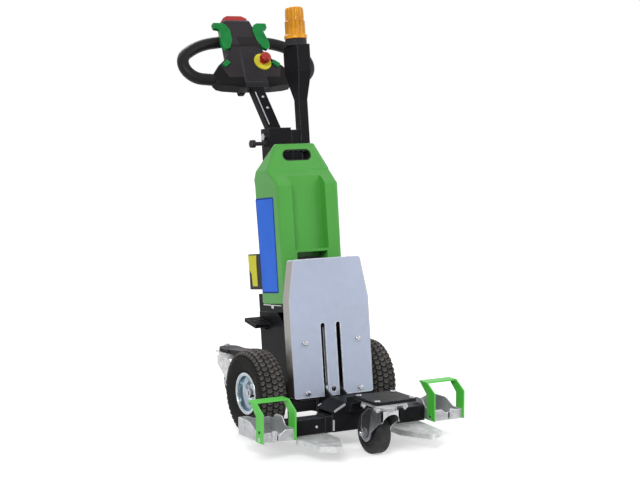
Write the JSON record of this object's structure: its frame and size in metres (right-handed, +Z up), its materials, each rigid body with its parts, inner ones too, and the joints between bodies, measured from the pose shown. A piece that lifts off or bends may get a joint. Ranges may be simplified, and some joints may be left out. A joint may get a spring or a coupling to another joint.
{
  "type": "pedestrian electric tow tractor",
  "caption": "Walk-behind electric tug: driven wheels, leaning battery column with tiller and beacon, lifting castor-grip hitch, castors front and rear.",
  "frame": {"origin": "on the floor under the middle of the machine's overall box", "axes": "+X to the right seen from the hitch end, +Y towards the operator, +Z up"},
  "size_m": [0.674, 1.052, 1.2692],
  "materials": {
    "black_steel": "black powder coat on steel",
    "zinc_plate": "bluish zinc plating, satin",
    "galvanised": "hot-dip galvanised sheet, spangled",
    "green_case": "moulded green plastic, satin",
    "green_paint": "green powder coat on strip steel",
    "green_lever": "green moulded plastic",
    "black_plastic": "grained black plastic",
    "grip_rubber": "soft black grip rubber",
    "tyre_rubber": "black tyre rubber",
    "castor_rubber": "black elastic rubber",
    "rim_silver": "silver rim paint",
    "bright_steel": "bright machined steel",
    "cast_housing": "dark cast housing",
    "red_plastic": "red moulded plastic",
    "yellow_plastic": "yellow moulded plastic",
    "amber_lens": "amber moulded lens"
  },
  "bodies": {
    "chassis": {"chassis_frame": "black_steel", "drive_unit": "cast_housing", "front_plate": "zinc_plate", "guide_rods": "bright_steel", "lift_actuator": "black_plastic", "column": "black_steel", "battery_case": "green_case", "case_connector": "black_plastic", "battery_tray": "black_steel", "status_box": "black_plastic", "foot_pedal": "black_steel", "beacon_post": "black_steel", "beacon_base": "black_plastic", "beacon_lens": "amber_lens", "tiller_pin": "bright_steel", "tiller_knob": "black_plastic", "rear_arm": "black_steel", "rear_castor_plate": "galvanised"},
    "tiller": {"tiller_arm": "black_steel", "tiller_head": "black_plastic", "handle_loops": "grip_rubber", "thumb_levers": "green_lever", "end_button": "red_plastic", "stop_ring": "yellow_plastic", "stop_button": "red_plastic", "side_keys": "green_lever"},
    "hitch": {"lift_carriage": "bright_steel", "hitch_arms": "black_steel", "hitch_box": "black_steel", "crossbar": "black_steel", "castor_pad": "black_steel", "left_fork_plate": "galvanised", "right_fork_plate": "galvanised", "front_castor_plate": "galvanised", "left_gripper": "galvanised", "right_gripper": "galvanised", "left_hoop": "green_paint", "right_hoop": "green_paint"},
    "front_castor": {"front_castor_fork": "galvanised"},
    "front_castor_wheel": {"front_castor_tyre": "castor_rubber", "front_castor_core": "black_plastic"},
    "rear_castor": {"rear_castor_fork": "galvanised"},
    "rear_castor_wheel": {"rear_castor_tyre": "castor_rubber", "rear_castor_core": "black_plastic"},
    "left_wheel": {"left_tyre": "tyre_rubber", "left_rim": "rim_silver"},
    "right_wheel": {"right_tyre": "tyre_rubber", "right_rim": "rim_silver"}
  },
  "joints": [
    {"name": "left_wheel_spin", "type": "hinge", "parent": "chassis", "child": "left_wheel", "pos_m": [-0.188, -0.048, 0.13], "axis": [1, 0, 0], "continuous": true},
    {"name": "right_wheel_spin", "type": "hinge", "parent": "chassis", "child": "right_wheel", "pos_m": [0.188, -0.048, 0.13], "axis": [1, 0, 0], "continuous": true},
    {"name": "tiller_tilt", "type": "hinge", "parent": "chassis", "child": "tiller", "pos_m": [0, 0.16676, 0.87141], "axis": [-1, 0, 0], "range_deg": [-5, 30]},
    {"name": "hitch_lift", "type": "slide", "parent": "chassis", "child": "hitch", "axis": [0, 0.1219, 0.9925], "range_m": [0, 0.15]},
    {"name": "front_castor_swivel", "type": "hinge", "parent": "hitch", "child": "front_castor", "pos_m": [0, -0.46, 0.14], "axis": [0, 0, 1], "continuous": true},
    {"name": "front_castor_spin", "type": "hinge", "parent": "front_castor", "child": "front_castor_wheel", "pos_m": [0, -0.407, 0.0625], "axis": [1, 0, 0], "continuous": true},
    {"name": "rear_castor_swivel", "type": "hinge", "parent": "chassis", "child": "rear_castor", "pos_m": [0, 0.49, 0.14], "axis": [0, 0, 1], "continuous": true},
    {"name": "rear_castor_spin", "type": "hinge", "parent": "rear_castor", "child": "rear_castor_wheel", "pos_m": [0, 0.437, 0.0625], "axis": [1, 0, 0], "continuous": true}
  ]
}
